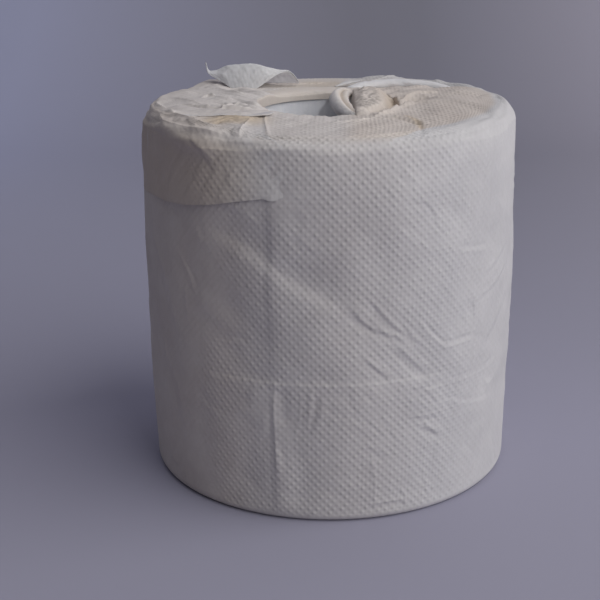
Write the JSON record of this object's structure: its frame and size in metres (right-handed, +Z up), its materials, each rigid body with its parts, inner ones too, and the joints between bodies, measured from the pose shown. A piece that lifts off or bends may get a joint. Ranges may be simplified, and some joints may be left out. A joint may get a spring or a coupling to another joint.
{
  "type": "toilet paper roll",
  "caption": "Toilet paper roll standing on its end in a thin embossed tissue wrapper, folded over both ends, opened and turned back at the top so that the core shows.",
  "frame": {"origin": "on the roll's axis, in the plane that its base stands on", "axes": "+Z up along the roll's axis, -Y towards the front, where the lapel's free edge ends"},
  "size_m": [0.104, 0.1047, 0.1087],
  "materials": {
    "wrapper_tissue": "embossed tissue, matt and a little translucent",
    "wound_tissue": "soft matt tissue",
    "core_board": "matt grey-white board"
  },
  "bodies": {
    "root": {"core_tube": "core_board", "paper_roll": "wound_tissue", "wrapper": "wrapper_tissue"}
  },
  "joints": []
}
